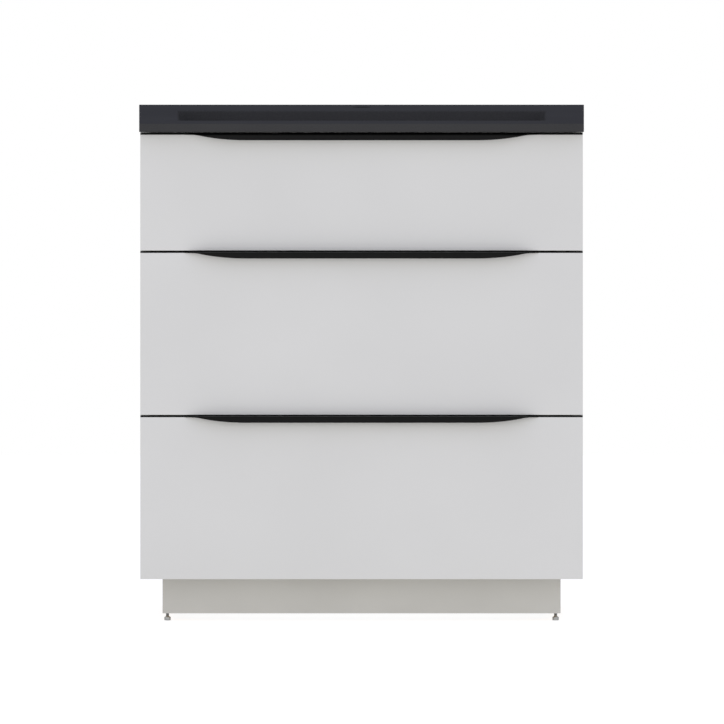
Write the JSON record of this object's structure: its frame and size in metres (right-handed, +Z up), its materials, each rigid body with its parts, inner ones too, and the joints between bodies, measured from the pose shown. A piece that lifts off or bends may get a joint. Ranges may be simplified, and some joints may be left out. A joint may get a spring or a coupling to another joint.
{
  "type": "base cabinet with drawers",
  "caption": "Fitted base cabinet with full-width drawers, edge-pull handles and a recessed plinth, under a dark moulded top with a shallow basin and a tap hole.",
  "frame": {"origin": "on the floor, at the middle of the plan", "axes": "+Z up, front towards -Y, +X to the right seen from the front"},
  "size_m": [0.8, 0.6, 0.9],
  "materials": {
    "composite_top": "matt anthracite mineral composite",
    "carcass_board": "pale melamine-faced chipboard",
    "plinth_board": "pale lacquered board",
    "raw_wood": "planed pine",
    "zinc_plated_steel": "zinc plated",
    "bumper_rubber": "soft clear grey",
    "glide_steel": "zinc plated, turned",
    "runner_steel": "galvanised, rolled",
    "front_lacquer": "matt lacquered fibreboard",
    "handle_anthracite": "anthracite powder coat",
    "drawer_steel": "grey powder coat",
    "drawer_board": "light grey melamine board",
    "guard_plastic": "moulded grey"
  },
  "bodies": {
    "cabinet": {"top_with_basin": "composite_top", "top_brackets": "zinc_plated_steel", "side_panel_left": "carcass_board", "side_panel_right": "carcass_board", "bottom_panel": "carcass_board", "back_panel": "carcass_board", "front_rail": "carcass_board", "rear_rail": "carcass_board", "cam_locks": "zinc_plated_steel", "front_bumpers": "bumper_rubber", "plinth_front": "plinth_board", "plinth_rear": "plinth_board", "plinth_left": "plinth_board", "plinth_right": "plinth_board", "plinth_blocks": "raw_wood", "glide_sockets": "zinc_plated_steel", "runner_outer_bottom": "runner_steel", "runner_outer_middle": "runner_steel", "runner_outer_top": "runner_steel", "runner_screws": "zinc_plated_steel"},
    "drawer_bottom": {"drawer_bottom_front": "front_lacquer", "drawer_bottom_handle": "handle_anthracite", "drawer_bottom_handle_screws": "zinc_plated_steel", "drawer_bottom_side_left": "drawer_steel", "drawer_bottom_side_right": "drawer_steel", "drawer_bottom_bottom": "drawer_board", "drawer_bottom_front_clips": "zinc_plated_steel", "runner_inner_bottom": "runner_steel", "drawer_bottom_back": "drawer_board", "drawer_bottom_galleries": "drawer_steel"},
    "runner_link_bottom": {"runner_middle_bottom": "runner_steel"},
    "drawer_middle": {"drawer_middle_front": "front_lacquer", "drawer_middle_handle": "handle_anthracite", "drawer_middle_handle_screws": "zinc_plated_steel", "drawer_middle_side_left": "drawer_steel", "drawer_middle_side_right": "drawer_steel", "drawer_middle_bottom": "drawer_board", "drawer_middle_front_clips": "zinc_plated_steel", "runner_inner_middle": "runner_steel", "drawer_middle_back": "drawer_board", "drawer_middle_galleries": "drawer_steel"},
    "runner_link_middle": {"runner_middle_middle": "runner_steel"},
    "drawer_top": {"drawer_top_front": "front_lacquer", "drawer_top_handle": "handle_anthracite", "drawer_top_handle_screws": "zinc_plated_steel", "drawer_top_side_left": "drawer_steel", "drawer_top_side_right": "drawer_steel", "drawer_top_bottom": "drawer_board", "drawer_top_front_clips": "zinc_plated_steel", "runner_inner_top": "runner_steel", "drawer_top_back_left": "drawer_board", "drawer_top_back_right": "drawer_board", "drawer_top_trap_guard": "guard_plastic"},
    "runner_link_top": {"runner_middle_top": "runner_steel"},
    "glide_front_left": {"levelling_glide_front_left": "glide_steel"},
    "glide_front_right": {"levelling_glide_front_right": "glide_steel"},
    "glide_rear_left": {"levelling_glide_rear_left": "glide_steel"},
    "glide_rear_right": {"levelling_glide_rear_right": "glide_steel"}
  },
  "joints": [
    {"name": "drawer_bottom_slide", "type": "slide", "parent": "cabinet", "child": "drawer_bottom", "axis": [0, -1, 0], "range_m": [0, 0.46]},
    {"name": "runner_link_bottom_slide", "type": "slide", "parent": "cabinet", "child": "runner_link_bottom", "axis": [0, -1, 0], "range_m": [0, 0.23]},
    {"name": "drawer_middle_slide", "type": "slide", "parent": "cabinet", "child": "drawer_middle", "axis": [0, -1, 0], "range_m": [0, 0.46]},
    {"name": "runner_link_middle_slide", "type": "slide", "parent": "cabinet", "child": "runner_link_middle", "axis": [0, -1, 0], "range_m": [0, 0.23]},
    {"name": "drawer_top_slide", "type": "slide", "parent": "cabinet", "child": "drawer_top", "axis": [0, -1, 0], "range_m": [0, 0.46]},
    {"name": "runner_link_top_slide", "type": "slide", "parent": "cabinet", "child": "runner_link_top", "axis": [0, -1, 0], "range_m": [0, 0.23]},
    {"name": "glide_front_left_turn", "type": "hinge", "parent": "cabinet", "child": "glide_front_left", "pos_m": [-0.349, -0.209, 0], "axis": [0, 0, 1], "continuous": true},
    {"name": "glide_front_right_turn", "type": "hinge", "parent": "cabinet", "child": "glide_front_right", "pos_m": [0.349, -0.209, 0], "axis": [0, 0, 1], "continuous": true},
    {"name": "glide_rear_left_turn", "type": "hinge", "parent": "cabinet", "child": "glide_rear_left", "pos_m": [-0.349, 0.251, 0], "axis": [0, 0, 1], "continuous": true},
    {"name": "glide_rear_right_turn", "type": "hinge", "parent": "cabinet", "child": "glide_rear_right", "pos_m": [0.349, 0.251, 0], "axis": [0, 0, 1], "continuous": true}
  ],
  "couplings": [
    {"joint": "runner_link_bottom_slide", "follows": "drawer_bottom_slide", "ratio": 0.5},
    {"joint": "runner_link_middle_slide", "follows": "drawer_middle_slide", "ratio": 0.5},
    {"joint": "runner_link_top_slide", "follows": "drawer_top_slide", "ratio": 0.5}
  ]
}
